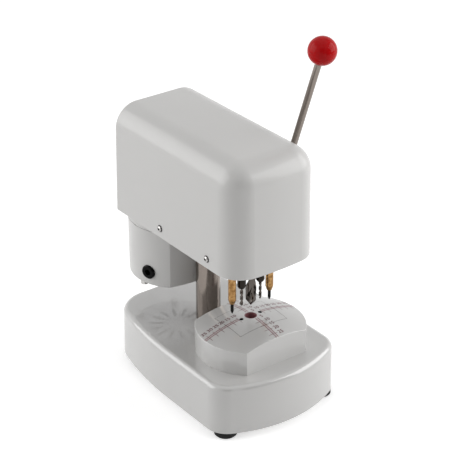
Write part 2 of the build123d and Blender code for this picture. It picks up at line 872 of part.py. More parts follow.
def pen_spring(x):
    """Spring above a pen point, as the tube that its coils fill."""
    low = table_top + pen_tip_end + pen_tip_length + 0.05
    high = low + pen_spring_length - 0.1
    return tube(pen_tip_radius - 0.05, pen_tip_radius - 0.05 - spring_wall, low, high, x, 0)


def bearing_bridge():
    """Ring on top of the tower that seats the pulley bearing."""
    ring = cylinder(tower_radius, tower_top, bridge_top)
    ring -= cylinder(quill_bearing_outer - 1.5, tower_top - 1, bridge_top + 1)
    ring -= cylinder(pulley_bearing_outer + press_gap, tower_top + 0.6, bridge_top + 1)
    for index in range(4):
        x, y = polar(bridge_screw_circle, 45 + 90 * index)
        ring -= cylinder(bridge_screw_radius + 0.1, tower_top - 1, bridge_top + 1, x, y)
        ring -= cylinder(bridge_screw_head_radius + 0.1, bridge_top - 2, bridge_top + 1, x, y)
    return ring


def bridge_screws():
    """Four sunk screws that hold the bridge on the tower."""
    screws = []
    for index in range(4):
        x, y = polar(bridge_screw_circle, 45 + 90 * index)
        shank = cylinder(bridge_screw_radius - press_gap, tower_top - 7, bridge_top - 1, x, y)
        screws.append(shank + cylinder(bridge_screw_head_radius, bridge_top - 2, bridge_top - 0.1, x, y))
    return screws


def pulley_profile(radius, bore):
    """Return the section of a pulley with one V groove."""
    half_mouth = groove_width / 2
    half_floor = belt_width / 2 + belt_gap
    return [
        (bore, pulley_bottom), (radius, pulley_bottom), (radius, groove_middle - half_mouth),
        (radius - groove_depth, groove_middle - half_floor), (radius - groove_depth, groove_middle + half_floor),
        (radius, groove_middle + half_mouth), (radius, pulley_top), (bore, pulley_top),
    ]


def spindle_pulley():
    """Pulley whose splined hub turns in the bridge and drives the sliding spindle."""
    wheel = turned(pulley_profile(spindle_pulley_radius, 1.0))
    hub_bottom = tower_top + 0.4
    wheel += cylinder(pulley_bearing_inner - 0.03, hub_bottom, pulley_bottom + 1)
    return wheel - slab(spline_outline(spline_gap), hub_bottom - 1, pulley_top + 1)


def drive_belt():
    """Belt round both pulleys, a small gap off their groove floors."""
    spindle_inner = spindle_pulley_radius - groove_depth + belt_gap
    motor_inner = motor_pulley_radius - groove_depth + belt_gap

    def loop(extra):
        circles = [Circle(spindle_inner + extra), Pos(0, motor_y) * Circle(motor_inner + extra)]
        return make_hull([edge for circle in circles for edge in circle.edges()])

    ring = loop(belt_thickness) - loop(0)
    return slab(ring, groove_middle - belt_width / 2, groove_middle + belt_width / 2)


def motor_pulley():
    """Small pulley on the motor shaft."""
    return turned(pulley_profile(motor_pulley_radius, motor_shaft_radius + press_gap), 0, motor_y)


def motor_shaft():
    """Shaft that runs up from the motor to the belt."""
    low = motor_bottom + 2.0
    return cylinder(motor_shaft_radius - 0.03, low, pulley_top + 1.5, 0, motor_y)


def rotor_core():
    """Laminated rotor on the motor shaft."""
    return tube(stator_bore - rotor_gap, motor_shaft_radius, stator_bottom, stator_top, 0, motor_y)


def stator_core():
    """Laminated core that fills the motor housing, with a hole for each end screw."""
    core = slab(motor_plan(motor_wall + press_gap), stator_bottom, stator_top)
    core -= cylinder(stator_bore, stator_bottom - 1, stator_top + 1, 0, motor_y)
    for angle in motor_screw_angles:
        x, y = polar(motor_screw_circle, angle, 0, motor_y)
        core -= cylinder(motor_screw_radius + press_gap, stator_bottom - 1, stator_top + 1, x, y)
    return core


def stator_coils():
    """Copper end turns above and below the stator core."""
    outer = motor_reach - 3
    inner = stator_bore + 1.5
    return [
        tube(outer, inner, stator_bottom - coil_height, stator_bottom, 0, motor_y),
        tube(outer, inner, stator_top, stator_top + coil_height, 0, motor_y),
    ]


def cooling_fan():
    """Fan on the motor shaft above the windings."""
    low = fan_bottom
    hub = tube(fan_hub_radius, motor_shaft_radius, low, low + fan_height, 0, motor_y)
    disc = tube(fan_radius, motor_shaft_radius, low, low + 1.2, 0, motor_y)
    fan = hub + disc
    for index in range(fan_blades):
        blade = box(fan_hub_radius - 0.5, fan_radius - 0.5, -0.6, 0.6, low + 0.6, low + fan_height)
        fan += Pos(0, motor_y, 0) * Rot(0, 0, 360 * index / fan_blades) * blade
    return fan


def motor_plan(inset=0.0):
    """Return the plan of the motor: a circle cut by a slightly bowed front behind the column."""
    corner_y = motor_y - sqrt(motor_radius ** 2 - motor_corner_x ** 2)
    plan = make_face([
        ThreePointArc((-motor_corner_x, corner_y), (0, motor_front), (motor_corner_x, corner_y)),
        ThreePointArc((motor_corner_x, corner_y), (0, motor_rear), (-motor_corner_x, corner_y)),
    ])
    if inset > 0:
        return offset(plan, -inset, kind=Kind.INTERSECTION)
    return fillet(plan.vertices(), motor_corner_radius)


def motor_housing():
    """Can of the motor with a flat front, open at both ends."""
    can = slab(motor_plan(), motor_bottom, motor_seam)
    can = fillet(can.faces().sort_by(Axis.Z)[0].edges(), motor_rim_radius)
    can -= slab(motor_plan(motor_wall), motor_bottom - 1, motor_seam + 1)
    x, y = gland_position(motor_radius - motor_wall - 2)
    can -= radial_bar(gland_shank_radius + press_gap, x, y, 8)
    return can


def gland_position(radius):
    """Return the point of the cord gland's axis at a radius from the motor axis."""
    return polar(radius, gland_angle, 0, motor_y)


def radial_bar(radius, x, y, length):
    """Return a cylinder that points away from the motor axis, from a point on the gland's axis."""
    rod = Cylinder(radius, length, align=BOTTOM)
    return Pos(x, y, motor_bottom + gland_height) * Rot(0, 0, gland_angle) * Rot(0, 90, 0) * rod


def cord_gland():
    """Black bush where the mains cord leaves the motor housing."""
    x, y = gland_position(motor_radius - 0.6)
    flange = radial_bar(gland_radius, x, y, gland_proud + 0.6)
    flange = chamfer(flange.edges().filter_by(GeomType.CIRCLE).sort_by_distance((0, motor_y, motor_bottom))[-1], 0.7)
    x, y = gland_position(motor_radius - motor_wall - 1.5)
    shank = radial_bar(gland_shank_radius, x, y, motor_wall + 2)
    can = tube(motor_radius, motor_radius - motor_wall, motor_bottom - 1, motor_seam, 0, motor_y)
    can -= shank
    x, y = gland_position(motor_radius - motor_wall - 3)
    return flange + shank - can - radial_bar(gland_bore_radius, x, y, gland_bore_length)


def motor_cap():
    """Upper part of the motor, which closes it against the head frame."""
    cap = slab(motor_plan(), motor_seam, head_bottom)
    cap -= slab(motor_plan(motor_wall), motor_seam - 1, head_bottom - 3)
    cap -= cylinder(motor_shaft_radius + 6, motor_seam - 1, head_bottom + 1, 0, motor_y)
    groove = cylinder(motor_radius + 5, motor_seam, motor_seam + 0.6, 0, motor_y)
    cap -= groove - slab(motor_plan(0.5), motor_seam - 1, head_bottom)
    for angle in flange_screw_angles:
        x, y = polar(flange_screw_circle, angle, 0, motor_y)
        cap -= cylinder(motor_screw_radius + press_gap, head_bottom - 4, head_bottom + 1, x, y)
    return cap


def flange_screws():
    """Screws that hold the motor under the head frame."""
    screws = []
    for angle in flange_screw_angles:
        x, y = polar(flange_screw_circle, angle, 0, motor_y)
        head = cylinder(2.8, frame_top, frame_top + 2.2, x, y)
        screws.append(head + cylinder(motor_screw_radius, head_bottom - 3, frame_top, x, y))
    return screws


def end_cover():
    """Vented lower end of the motor with the seat of the lower bearing."""
    cover = slab(motor_plan(motor_wall + press_gap), motor_bottom, motor_bottom + end_cover_thickness)
    seat = motor_bearing_outer - 0.4
    seat_top = motor_bottom + end_seat_height
    cover += cylinder(seat, motor_bottom, seat_top, 0, motor_y)
    bearing_floor = motor_bottom + end_seat_floor
    cover -= cylinder(quill_bearing_outer + press_gap, bearing_floor, seat_top + 1, 0, motor_y)
    half_run = (vent_outer - vent_inner) / 2
    slot = Pos(vent_inner + half_run, 0) * SlotOverall(2 * half_run, vent_width)
    for index in range(vent_count):
        cut = slab(slot, motor_bottom - 1, motor_bottom + end_cover_thickness + 1)
        cover -= Pos(0, motor_y, 0) * Rot(0, 0, 360 * (index + 0.5) / vent_count) * cut
    for angle in motor_screw_angles:
        x, y = polar(motor_screw_circle, angle, 0, motor_y)
        cover -= cylinder(motor_screw_radius + 0.1, motor_bottom - 1, motor_bottom + 5, x, y)
    return cover


def end_screws():
    """Four long screws that hold the end cover to the stator."""
    screws = []
    for angle in motor_screw_angles:
        x, y = polar(motor_screw_circle, angle, 0, motor_y)
        head = cylinder(motor_screw_head_radius, motor_bottom - motor_screw_head, motor_bottom, x, y)
        shank = cylinder(motor_screw_radius, motor_bottom, stator_bottom + motor_screw_grip, x, y)
        screws.append(head + shank)
    return screws


def shaft_support():
    """Column on the head frame that carries the motor's upper bearing below the pulley."""
    profile = [
        (motor_shaft_radius + 2, frame_top), (support_flange_radius, frame_top),
        (support_flange_radius, frame_top + support_flange_height),
        (support_radius, frame_top + support_flange_height), (support_radius, support_top),
        (motor_bearing_outer + press_gap, support_top),
        (motor_bearing_outer + press_gap, support_top - motor_bearing_width),
        (motor_shaft_radius + 2, support_top - motor_bearing_width),
    ]
    return turned(profile, 0, motor_y)


def pinion():
    """Pinion that drives the rack, with a gap facing the rack's middle tooth."""
    outline = gear_outline(tooth_module, pinion_teeth, rack_backlash, 180 + 180 / pinion_teeth)
    wheel = extrude(outline - Circle(shaft_radius + press_gap), pinion_width)
    return Pos(-pinion_width / 2, pinion_y, pinion_z) * Rot(0, 90, 0) * Rot(0, 0, 90) * wheel


def pinion_shaft():
    """Cross shaft from the return spring to the lever hub."""
    return bar_x(shaft_radius, cup_left + 0.5, lever_x + lever_hub_half_length - 2, pinion_y, pinion_z)


def switch_cam():
    """Cam on the pinion shaft whose lobe presses the start switch at rest."""
    cam = Circle(cam_base_radius)
    lobe = Circle(cam_lobe_radius)
    reach = cam_lobe_radius + 1
    half = reach * tan(radians(cam_lobe_half_angle))
    wedge = make_face(Polyline((0, 0), (reach, -half), (reach, half), close=True))
    cam = cam + (lobe & wedge) - Circle(shaft_radius + press_gap)
    solid = extrude(cam, cam_width)
    return Pos(switch_x - cam_width / 2, pinion_y, pinion_z) * Rot(0, 90, 0) * solid


def spring_cup():
    """Open cup on the left that holds the return spring, on an arm from the tower."""
    cup = bar_x(spring_cup_radius, cup_left, cup_right, pinion_y, pinion_z)
    floor = cup_right - spring_cup_wall
    cup -= bar_x(spring_cup_radius - spring_cup_wall, cup_left - 1, floor, pinion_y, pinion_z)
    cup -= bar_x(shaft_radius + 0.6, cup_left, cup_right + 1, pinion_y, pinion_z)
    low = pinion_z + cam_lobe_radius + 0.7
    tab = box(floor, cup_right, pinion_y - 5, pinion_y + 5, pinion_z + spring_cup_radius - 3, low + 3.5)
    arm = box(floor, -tower_half_width, pinion_y - 5, pinion_y + 5, low, low + 3.5)
    return cup + tab + arm


def return_spring():
    """Spiral strip spring that lifts the lever, drawn as half rings that grow outwards."""
    left = cup_left + 0.5
    width = spring_cup_depth - spring_cup_wall - 1.0
    room = spring_cup_radius - spring_cup_wall - shaft_radius - 1.4
    pitch = room / (spring_turns + 0.5)
    strip = Sketch()
    for index in range(2 * spring_turns):
        radius = shaft_radius + 0.8 + pitch * (index / 2 + 0.25)
        side = 1 if index % 2 == 0 else -1
        half_turn = CenterArc((side * pitch / 4, 0), radius, 0 if side > 0 else 180, 180)
        strip += trace(half_turn, spring_strip)
    return Pos(left, pinion_y, pinion_z) * Rot(0, 90, 0) * extrude(strip, width)


def start_switch():
    """Sealed switch below the cam that starts the motor when the lever leaves its rest."""
    half = switch_width / 2
    front = pinion_y + 2.5 - switch_depth / 2
    top = frame_top + switch_height
    case = box(switch_x - half, switch_x + half, front, front + switch_depth, frame_top, top)
    return case - cylinder(plunger_radius + 0.3, top - 4, top + 1, switch_x, pinion_y)


def switch_plunger():
    """Plunger of the start switch, held down by the cam at rest."""
    top = pinion_z - cam_lobe_radius - plunger_gap
    return cylinder(plunger_radius, frame_top + switch_height - 3.5, top, switch_x, pinion_y)


def lever_hub():
    """Hub on the right end of the pinion shaft."""
    low = lever_x - lever_hub_half_length
    high = lever_x + lever_hub_half_length
    hub = bar_x(lever_hub_radius, low, high, pinion_y, pinion_z)
    hub = fillet(hub.edges().filter_by(GeomType.CIRCLE), 1.2)
    hub -= bar_x(shaft_radius + press_gap, low - 1, high - 1.8, pinion_y, pinion_z)
    return hub - lever_bar(lever_rod_radius + press_gap, shaft_radius + 0.5, lever_hub_radius + 5)


def lever_bar(radius, start, end):
    """Return a cylinder along the lever, between two distances from the pinion shaft."""
    rod = Cylinder(radius, end - start, align=BOTTOM)
    return Pos(lever_x, pinion_y, pinion_z) * Rot(lever_lean, 0, 0) * Pos(0, 0, start) * rod


def lever_rod():
    """Straight rod screwed into the hub and the ball."""
    return lever_bar(lever_rod_radius, shaft_radius + 0.6, lever_length - lever_ball_radius + lever_rod_grip)


def lever_ball():
    """Round knob on the end of the rod."""
    middle = Pos(lever_x, pinion_y, pinion_z) * Rot(lever_lean, 0, 0) * Pos(0, 0, lever_length)
    ball = middle * Sphere(lever_ball_radius)
    near = lever_length - lever_ball_radius
    return ball - lever_bar(lever_rod_radius + press_gap, near - 2, near + lever_rod_grip + 0.1)


def parts():
    """Return every node's name with its solid or its list of solids."""
    half_pitch = 180 / spindle_teeth
    pieces = {
        "base_housing": base_housing(),
        "base_plate": base_plate(),
        "rubber_feet": rubber_feet(),
        "base_screws": base_screws(),
        "drill_table": drill_table(),
        "table_screws": table_screws(),
        "column": column(),
        "column_bolt": column_bolt(),
        "head_frame": head_frame(),
        "clamp_screws": clamp_screws(),
        "head_cover": head_cover(),
        "cover_screws": cover_screws(),
        "quill": quill(),
        "quill_bearings": quill_bearings(),
        "spindle_block": spindle_block(),
        "block_cap": block_cap(),
        "cap_screws": cap_screws(),
        "main_spindle": main_spindle(),
        "main_gear": spindle_gear(0, 0, spindle_neck_radius + press_gap),
        "centre_chuck": centre_chuck(),
        "centre_drill": centre_drill(),
        "bearing_bridge": bearing_bridge(),
        "bridge_screws": bridge_screws(),
        "pulley_bearing": bearing(
            pulley_bearing_outer, pulley_bearing_inner, tower_top + 0.6, pulley_bearing_width),
        "spindle_pulley": spindle_pulley(),
        "drive_belt": drive_belt(),
        "motor_pulley": motor_pulley(),
        "motor_shaft": motor_shaft(),
        "rotor_core": rotor_core(),
        "cooling_fan": cooling_fan(),
        "stator_core": stator_core(),
        "stator_coils": stator_coils(),
        "motor_housing": motor_housing(),
        "motor_cap": motor_cap(),
        "flange_screws": flange_screws(),
        "end_cover": end_cover(),
        "end_screws": end_screws(),
        "motor_bearings": motor_bearings(),
        "shaft_support": shaft_support(),
        "cord_gland": cord_gland(),
        "pinion": pinion(),
        "pinion_shaft": pinion_shaft(),
        "switch_cam": switch_cam(),
        "spring_cup": spring_cup(),
        "return_spring": return_spring(),
        "start_switch": start_switch(),
        "switch_plunger": switch_plunger(),
        "lever_hub": lever_hub(),
        "lever_rod": lever_rod(),
        "lever_ball": lever_ball(),
    }
    for name, side in (("left", -1), ("right", 1)):
        x = side * spindle_spacing
        spindle = side_spindle(x) + spindle_gear(x, half_pitch, side_spindle_radius)
        pieces[f"side_spindle_{name}"] = spindle
        pieces[f"side_chuck_{name}"] = side_chuck(x)
        pieces[f"side_drill_{name}"] = side_drill(x)
        pieces[f"pen_point_{name}"] = pen_point(side * pen_x)
    pieces["pen_sleeves"] = [pen_sleeve(-pen_x), pen_sleeve(pen_x)]
    pieces["pen_springs"] = [pen_spring(-pen_x), pen_spring(pen_x)]
    return pieces


def main():
    """Write one STEP file for each node, with the origin in the middle of the footprint."""
    os.makedirs("parts", exist_ok=True)
    shift = Pos(0, -centre_y, 0)
    for name, piece in parts().items():
        solids = piece if isinstance(piece, list) else [piece]
        moved = [shift * solid for solid in solids]
        shape = moved[0] if len(moved) == 1 else Compound(children=moved)
        export_step(shape, f"parts/{name}.step")


main()
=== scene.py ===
"""Looks of the lens drilling machine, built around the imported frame."""
import json
import math

import bmesh
import bpy
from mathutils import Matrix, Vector
from mathutils.bvhtree import BVHTree


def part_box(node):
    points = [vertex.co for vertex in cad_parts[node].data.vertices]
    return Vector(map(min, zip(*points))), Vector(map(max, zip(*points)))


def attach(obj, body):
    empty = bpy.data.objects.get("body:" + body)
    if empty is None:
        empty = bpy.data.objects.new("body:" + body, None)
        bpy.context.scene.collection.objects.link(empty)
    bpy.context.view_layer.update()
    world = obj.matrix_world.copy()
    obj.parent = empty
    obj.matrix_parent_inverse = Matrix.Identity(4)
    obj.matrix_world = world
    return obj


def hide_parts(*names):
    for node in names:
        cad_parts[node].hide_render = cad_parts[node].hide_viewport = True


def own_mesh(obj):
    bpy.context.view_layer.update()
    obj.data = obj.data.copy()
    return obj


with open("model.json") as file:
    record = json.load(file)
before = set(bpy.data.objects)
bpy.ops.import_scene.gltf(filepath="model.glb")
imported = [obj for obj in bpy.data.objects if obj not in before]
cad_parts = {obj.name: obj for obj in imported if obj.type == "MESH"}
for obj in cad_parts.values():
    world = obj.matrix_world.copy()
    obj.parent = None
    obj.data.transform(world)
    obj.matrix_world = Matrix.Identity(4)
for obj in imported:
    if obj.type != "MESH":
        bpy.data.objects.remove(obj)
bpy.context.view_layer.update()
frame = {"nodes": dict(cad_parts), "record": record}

mm = 0.001

# Camera and studio
camera_back = Vector((-0.5315, -0.7051, 0.4694))
camera_lens = 124.21
sensor_width = 36.0
plain_white = (1.0, 1.0, 1.0, 1.0)
fill_colour = (1.0, 0.995, 0.985, 1.0)
studio_fill = 0.32
floor_radius = 1.25
floor_colour = (0.80, 0.80, 0.80, 1.0)
floor_glow = 0.52
card_colour = (0.10, 0.09, 0.085, 1.0)
lamp_target = Vector((0.0, 0.0, 0.12))
card_target = Vector((0.0, 0.0, 0.10))

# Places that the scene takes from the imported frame
drill_axis_y = (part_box("main_spindle")[0].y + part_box("main_spindle")[1].y) / 2
table_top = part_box("drill_table")[1].z
camera_place = Vector((-0.58112, -0.75067 + drill_axis_y, 0.63453))


# Camera, floor and lamps

def aim(item, direction):
    """Turn a camera, lamp or card to face along a direction."""
    item.rotation_euler = direction.to_track_quat("-Z", "Y").to_euler()


def make_camera():
    """Set up the camera of the photograph."""
    data = bpy.data.cameras.new("camera")
    data.lens = camera_lens
    data.sensor_width = sensor_width
    data.clip_end = 20.0
    camera = bpy.data.objects.new("camera", data)
    camera.location = camera_place
    aim(camera, -camera_back)
    bpy.context.scene.collection.objects.link(camera)
    bpy.context.scene.camera = camera


def seen_directly(nodes, links):
    """Return a socket that is 1 on camera, glossy and transmission rays."""
    path = nodes.new("ShaderNodeLightPath")
    found = path.outputs["Is Camera Ray"]
    for ray in ("Is Glossy Ray", "Is Transmission Ray"):
        either = nodes.new("ShaderNodeMath")
        either.operation = "MAXIMUM"
        links.new(found, either.inputs[0])
        links.new(path.outputs[ray], either.inputs[1])
        found = either.outputs[0]
    return found


def make_world():
    """Light evenly from all round, behind a white background."""
    world = bpy.data.worlds.new("studio")
    world.use_nodes = True
    bpy.context.scene.world = world
    nodes, links = world.node_tree.nodes, world.node_tree.links
    nodes.clear()
    fill = nodes.new("ShaderNodeBackground")
    fill.inputs["Color"].default_value = fill_colour
    fill.inputs["Strength"].default_value = studio_fill
    white = nodes.new("ShaderNodeBackground")
    white.inputs["Color"].default_value = plain_white
    white.inputs["Strength"].default_value = 1.0
    mix = nodes.new("ShaderNodeMixShader")
    output = nodes.new("ShaderNodeOutputWorld")
    links.new(seen_directly(nodes, links), mix.inputs["Fac"])
    links.new(fill.outputs[0], mix.inputs[1])
    links.new(white.outputs[0], mix.inputs[2])
    links.new(mix.outputs[0], output.inputs["Surface"])


def stage_material(name):
    """Return an empty material with its nodes, links and output."""
    material = bpy.data.materials.new(name)
    material.use_nodes = True
    nodes, links = material.node_tree.nodes, material.node_tree.links
    nodes.clear()
    output = nodes.new("ShaderNodeOutputMaterial")
    return material, nodes, links, output


def make_floor():
    """Lay a pale floor that keeps the machine's shadow and is white beyond it."""
    bpy.ops.mesh.primitive_circle_add(
        vertices=96, radius=floor_radius, fill_type="NGON", location=(0, 0, 0))
    floor = bpy.context.object
    floor.name = "floor"
    material, nodes, links, output = stage_material("floor_white")
    matte = nodes.new("ShaderNodeBsdfDiffuse")
    matte.inputs["Color"].default_value = floor_colour
    glow = nodes.new("ShaderNodeEmission")
    glow.inputs["Color"].default_value = plain_white
    lift = nodes.new("ShaderNodeMath")
    lift.operation = "MULTIPLY"
    lift.inputs[1].default_value = floor_glow
    both = nodes.new("ShaderNodeAddShader")
    links.new(seen_directly(nodes, links), lift.inputs[0])
    links.new(lift.outputs[0], glow.inputs["Strength"])
    links.new(matte.outputs[0], both.inputs[0])
    links.new(glow.outputs[0], both.inputs[1])
    links.new(both.outputs[0], output.inputs["Surface"])
    floor.data.materials.append(material)


def soft_box(name, place, width, height, power):
    """Hang one soft area lamp that points at the machine."""
    data = bpy.data.lights.new(name, "AREA")
    data.shape = "RECTANGLE"
    data.size = width
    data.size_y = height
    data.energy = power
    lamp = bpy.data.objects.new(name, data)
    lamp.location = place
    aim(lamp, lamp_target - Vector(place))
    bpy.context.scene.collection.objects.link(lamp)


def make_lamps():
    """Light the machine from both sides of the camera and from above."""
    soft_box("left_lamp", (-1.33, 1.00, 0.79), 1.9, 1.4, 18.6)
    soft_box("right_lamp", (1.33, -1.00, 0.79), 1.9, 1.4, 25.0)
    soft_box("top_lamp", (0.05, 0.25, 1.85), 1.6, 1.6, 2.6)


def dark_card(name, place, width, height):
    """Stand a dark card where metal and gloss paint mirror the room's dark side."""
    bpy.ops.mesh.primitive_plane_add(size=1.0, location=place)
    card = bpy.context.object
    card.name = name
    card.scale = (width, height, 1.0)
    aim(card, card_target - Vector(place))
    material, nodes, links, output = stage_material(name)
    dark = nodes.new("ShaderNodeEmission")
    dark.inputs["Color"].default_value = card_colour
    dark.inputs["Strength"].default_value = 1.0
    links.new(dark.outputs[0], output.inputs["Surface"])
    card.data.materials.append(material)
    card.visible_camera = False
    card.visible_diffuse = False
    card.visible_shadow = False
    card.visible_transmission = False


# Finishes

class Finish:
    """A procedural material, made step by step on one principled shader."""

    def __init__(self, name, colour, roughness, metallic=0.0):
        self.material = bpy.data.materials.new(name)
        self.material.use_nodes = True
        self.nodes = self.material.node_tree.nodes
        self.links = self.material.node_tree.links
        self.shader = self.nodes["Principled BSDF"]
        self.colour = colour
        self.shader.inputs["Base Color"].default_value = (*colour, 1.0)
        self.shader.inputs["Roughness"].default_value = roughness
        self.shader.inputs["Metallic"].default_value = metallic
        self.place = self.nodes.new("ShaderNodeTexCoord").outputs["Object"]
        self.normal = None

    def coat(self, weight, roughness, ior):
        """Lay a clear coat over the finish."""
        self.shader.inputs["Coat Weight"].default_value = weight
        self.shader.inputs["Coat Roughness"].default_value = roughness
        self.shader.inputs["Coat IOR"].default_value = ior

    def stretched(self, scale):
        """Return object coordinates stretched by a factor on each axis."""
        mapping = self.nodes.new("ShaderNodeMapping")
        mapping.inputs["Scale"].default_value = scale
        self.links.new(self.place, mapping.inputs["Vector"])
        return mapping.outputs["Vector"]

    def noise(self, scale, detail=3.0, stretch=None):
        """Return a noise from 0 to 1, at so many features a metre."""
        node = self.nodes.new("ShaderNodeTexNoise")
        node.inputs["Scale"].default_value = scale
        node.inputs["Detail"].default_value = detail
        vector = self.stretched(stretch) if stretch else self.place
        self.links.new(vector, node.inputs["Vector"])
        return node.outputs["Fac"]

    def ramp(self, factor, low, high, start=0.3, end=0.7):
        """Spread a noise between two values."""
        node = self.nodes.new("ShaderNodeMapRange")
        node.inputs["From Min"].default_value = start
        node.inputs["From Max"].default_value = end
        node.inputs["To Min"].default_value = low
        node.inputs["To Max"].default_value = high
        self.links.new(factor, node.inputs["Value"])
        return node.outputs["Result"]

    def vary_roughness(self, factor, low, high):
        """Let the roughness follow a noise."""
        self.links.new(self.ramp(factor, low, high), self.shader.inputs["Roughness"])

    def vary_colour(self, factor, other, start=0.3, end=0.7):
        """Blend the base colour towards another with a noise."""
        mix = self.nodes.new("ShaderNodeMix")
        mix.data_type = "RGBA"
        mix.inputs["A"].default_value = (*self.colour, 1.0)
        mix.inputs["B"].default_value = (*other, 1.0)
        self.links.new(self.ramp(factor, 0.0, 1.0, start, end), mix.inputs["Factor"])
        self.links.new(mix.outputs["Result"], self.shader.inputs["Base Color"])

    def bump(self, factor, strength, distance):
        """Raise the surface by a noise, over what was raised before."""
        node = self.nodes.new("ShaderNodeBump")
        node.inputs["Strength"].default_value = strength
        node.inputs["Distance"].default_value = distance
        self.links.new(factor, node.inputs["Height"])
        if self.normal is not None:
            self.links.new(self.normal, node.inputs["Normal"])
        self.normal = node.outputs["Normal"]
        self.links.new(self.normal, self.shader.inputs["Normal"])
        if self.shader.inputs["Coat Weight"].default_value > 0:
            self.links.new(self.normal, self.shader.inputs["Coat Normal"])


def grey_paint(name, colour, coat_weight, coat_roughness, coat_ior):
    """Sprayed light grey paint with a faint orange peel."""
    finish = Finish(name, colour, 0.42)
    finish.coat(coat_weight, coat_roughness, coat_ior)
    finish.vary_colour(finish.noise(14.0, 2.0), tuple(c * 0.985 for c in colour))
    finish.vary_roughness(finish.noise(60.0, 4.0), 0.37, 0.43)
    finish.bump(finish.noise(700.0, 2.0), 0.03, 0.01 * mm)
    return finish.material


def ground_steel(name, colour, roughness, lines=0.25, along=(600.0, 600.0, 9000.0)):
    """Ground or turned steel, with fine lines across the given axis."""
    finish = Finish(name, colour, roughness, 1.0)
    streaks = finish.noise(1.0, 3.0, along)
    finish.vary_roughness(finish.noise(45.0, 4.0), roughness * 0.85, roughness * 1.2)
    finish.vary_colour(streaks, tuple(c * 0.88 for c in colour))
    finish.bump(streaks, lines, 0.01 * mm)
    return finish.material


def turned_brass(name, colour, darker):
    """Handled brass, with fine turned rings and a darker tarnish in patches."""
    finish = Finish(name, colour, 0.24, 1.0)
    rings = finish.noise(1.0, 2.0, (60.0, 60.0, 2400.0))
    finish.vary_roughness(finish.noise(240.0, 3.0), 0.17, 0.32)
    finish.vary_colour(finish.noise(420.0, 4.0), darker, 0.38, 0.62)
    finish.bump(rings, 0.5, 0.04 * mm)
    return finish.material


def cast_metal(name, colour, roughness, metallic=1.0):
    """Cast or bead blasted metal with a fine grain."""
    finish = Finish(name, colour, roughness, metallic)
    finish.vary_colour(finish.noise(160.0, 5.0), tuple(c * 0.85 for c in colour))
    finish.vary_roughness(finish.noise(500.0, 3.0), roughness * 0.85, roughness * 1.15)
    finish.bump(finish.noise(1800.0, 3.0), 0.35, 0.03 * mm)
    return finish.material


def plastic(name, colour, roughness, gloss=0.5):
    """Moulded plastic with a very fine grain."""
    finish = Finish(name, colour, roughness)
    finish.shader.inputs["Specular IOR Level"].default_value = gloss
    finish.vary_colour(finish.noise(220.0, 3.0), tuple(c * 0.9 + 0.002 for c in colour))
    finish.vary_roughness(finish.noise(300.0, 3.0), roughness * 0.9, roughness * 1.12)
    finish.bump(finish.noise(2200.0, 2.0), 0.12, 0.01 * mm)
    return finish.material


def rubber(name):
    """Matte black rubber with a little dust."""
    finish = Finish(name, (0.008, 0.008, 0.008), 0.62)
    finish.shader.inputs["Specular IOR Level"].default_value = 0.2
    finish.vary_colour(finish.noise(300.0, 5.0), (0.018, 0.018, 0.017), 0.45, 0.75)
    finish.vary_roughness(finish.noise(180.0, 3.0), 0.5, 0.75)
    finish.bump(finish.noise(1500.0, 3.0), 0.3, 0.03 * mm)
    return finish.material


def printed_ink(name, colour):
    """Screen printed ink, thin enough to let the paint through in places."""
    finish = Finish(name, colour, 0.35)
    lighter = tuple(c * 0.85 + 0.08 for c in colour)
    finish.vary_colour(finish.noise(5200.0, 2.0), lighter, 0.55, 0.85)
    finish.vary_roughness(finish.noise(900.0, 2.0), 0.3, 0.4)
    return finish.material


def make_finishes():
    """Make one material for each of the record's slots and for the printing."""
    return {
        "white_paint": grey_paint("satin_paint", (0.615, 0.610, 0.600), 0.30, 0.10, 1.5),
        "base_paint": grey_paint("gloss_paint", (0.545, 0.540, 0.531), 1.0, 0.015, 1.7),
        "stainless": ground_steel("stainless", (0.36, 0.325, 0.295), 0.16, 0.12),
        # Column steel: a darker, browner copy of the stainless, painting the dark surroundings that the
        # column and lever rod mirror
        "column_steel_dark_reflection": ground_steel("column_steel_dark_reflection", (0.26, 0.225, 0.20), 0.14, 0.12),
        "screw_steel": ground_steel("screw_steel", (0.42, 0.41, 0.40), 0.08, 0.05),
        "steel": ground_steel("steel", (0.46, 0.45, 0.44), 0.28),
        "screws": ground_steel("screws", (0.56, 0.55, 0.54), 0.22),
        "cast_aluminium": cast_metal("cast_aluminium", (0.62, 0.62, 0.63), 0.42),
        "bearing_steel": ground_steel("bearing_steel", (0.50, 0.50, 0.50), 0.18),
        "black_block": cast_metal("black_block", (0.020, 0.020, 0.021), 0.38, 0.6),
        "dark_steel": ground_steel("dark_steel", (0.028, 0.024, 0.021), 0.12),
        "drill_steel": ground_steel("drill_steel", (0.115, 0.100, 0.090), 0.13, 0.1),
        "brass": turned_brass("brass", (0.43, 0.255, 0.105), (0.235, 0.122, 0.042)),
        "black_point": plastic("black_point", (0.005, 0.005, 0.005), 0.40, 0.12),
        "spring_steel": ground_steel("spring_steel", (0.36, 0.36, 0.37), 0.25),
        "rubber": rubber("rubber"),
        "black_plastic": plastic("black_plastic", (0.003, 0.003, 0.003), 0.16, 0.06),
        "grey_plastic": plastic("grey_plastic", (0.18, 0.18, 0.19), 0.40),
        "laminations": ground_steel(
            "laminations", (0.22, 0.22, 0.23), 0.42, 0.8, (30.0, 30.0, 2500.0)),
        "copper_coils": ground_steel(
            "copper_coils", (0.45, 0.16, 0.06), 0.32, 0.9, (40.0, 40.0, 2000.0)),
        "red_ball": plastic("red_ball", (0.50, 0.004, 0.006), 0.12, 0.09),
        "centre_hole_red_finish": plastic("centre_hole_red_finish", (0.30, 0.13, 0.14), 0.35),
        "red_ink": printed_ink("red_ink", (0.17, 0.004, 0.018)),
        "dark_ink": printed_ink("dark_ink", (0.10, 0.006, 0.016)),
        "black_ink": printed_ink("black_ink", (0.018, 0.018, 0.020)),
    }


